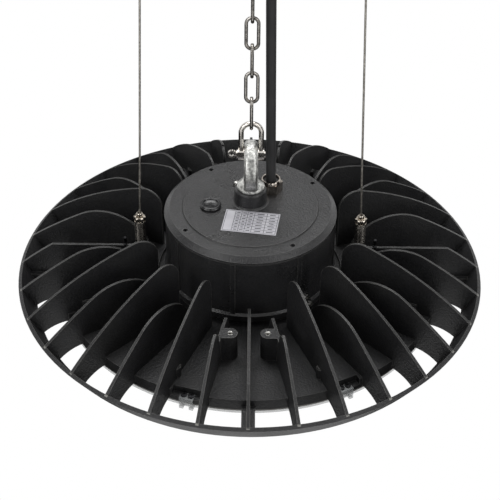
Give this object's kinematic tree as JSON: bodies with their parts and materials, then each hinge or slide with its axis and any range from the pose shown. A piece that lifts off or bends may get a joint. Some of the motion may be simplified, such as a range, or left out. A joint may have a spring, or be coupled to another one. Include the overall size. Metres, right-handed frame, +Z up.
{
  "type": "high bay light",
  "caption": "Round industrial high bay LED light with a radial finned heatsink, hung from a ceiling hook by an eye bolt, shackle and chain, with two safety wire ropes.",
  "frame": {"origin": "where the ceiling hook's shank enters the ceiling", "axes": "+Z up along the hook's shank; the two wire ropes stand left and right on X; +Y to the side of the cable gland, -Y to the side of the rating label"},
  "size_m": [0.3999, 0.4, 0.336],
  "materials": {
    "powder_coated_casting": "satin black powder coat",
    "silicone": "grey silicone",
    "stainless_steel": "bright stainless",
    "zinc_plated_steel": "zinc plated",
    "nickel_plated_brass": "nickel plated",
    "gripper_black_nickel": "dark nickel",
    "bright_nickel": "bright nickel",
    "wire_rope": "stranded steel",
    "cable_rubber": "matte black sheath",
    "black_nylon": "matte",
    "white_plastic": "matte white",
    "label_film": "blank white film",
    "driver_case": "plain",
    "board_white": "white solder mask",
    "led_phosphor": "phosphor",
    "clear_polycarbonate": "clear"
  },
  "bodies": {
    "root": {"heatsink_base": "powder_coated_casting", "heatsink_rim": "powder_coated_casting", "heatsink_blades": "powder_coated_casting", "driver_housing": "powder_coated_casting", "housing_cover": "powder_coated_casting", "housing_seal": "silicone", "cover_gasket": "silicone", "lens_gasket": "silicone", "gland_seal": "silicone", "plug_seal": "silicone", "cover_screws": "stainless_steel", "housing_screws": "stainless_steel", "clip_screws": "stainless_steel", "driver_screws": "stainless_steel", "earth_screws": "stainless_steel", "board_screws": "stainless_steel", "eye_bolt_lock_screw": "stainless_steel", "shackle_bow": "stainless_steel", "shackle_pin": "stainless_steel", "lens_clip_1": "stainless_steel", "lens_clip_2": "stainless_steel", "lens_clip_3": "stainless_steel", "lens_clip_4": "stainless_steel", "lens_clip_5": "stainless_steel", "lens_clip_6": "stainless_steel", "lens_clip_7": "stainless_steel", "lens_clip_8": "stainless_steel", "eye_bolt": "zinc_plated_steel", "ceiling_hook": "zinc_plated_steel", "chain_link_1": "zinc_plated_steel", "chain_link_2": "zinc_plated_steel", "chain_link_3": "zinc_plated_steel", "chain_link_4": "zinc_plated_steel", "chain_link_5": "zinc_plated_steel", "gland_body": "nickel_plated_brass", "gland_nut": "nickel_plated_brass", "gripper_body_left": "gripper_black_nickel", "gripper_body_right": "gripper_black_nickel", "gripper_sleeve_left": "bright_nickel", "gripper_sleeve_right": "bright_nickel", "gripper_nipple_left": "bright_nickel", "gripper_nipple_right": "bright_nickel", "rope_anchor_left": "bright_nickel", "rope_anchor_right": "bright_nickel", "wire_rope_left": "wire_rope", "wire_rope_right": "wire_rope", "power_cable": "cable_rubber", "blanking_plug": "black_nylon", "ceiling_rose": "white_plastic", "rating_label": "label_film", "driver_unit": "driver_case", "led_board": "board_white", "leds": "led_phosphor", "lens": "clear_polycarbonate"}
  },
  "joints": []
}
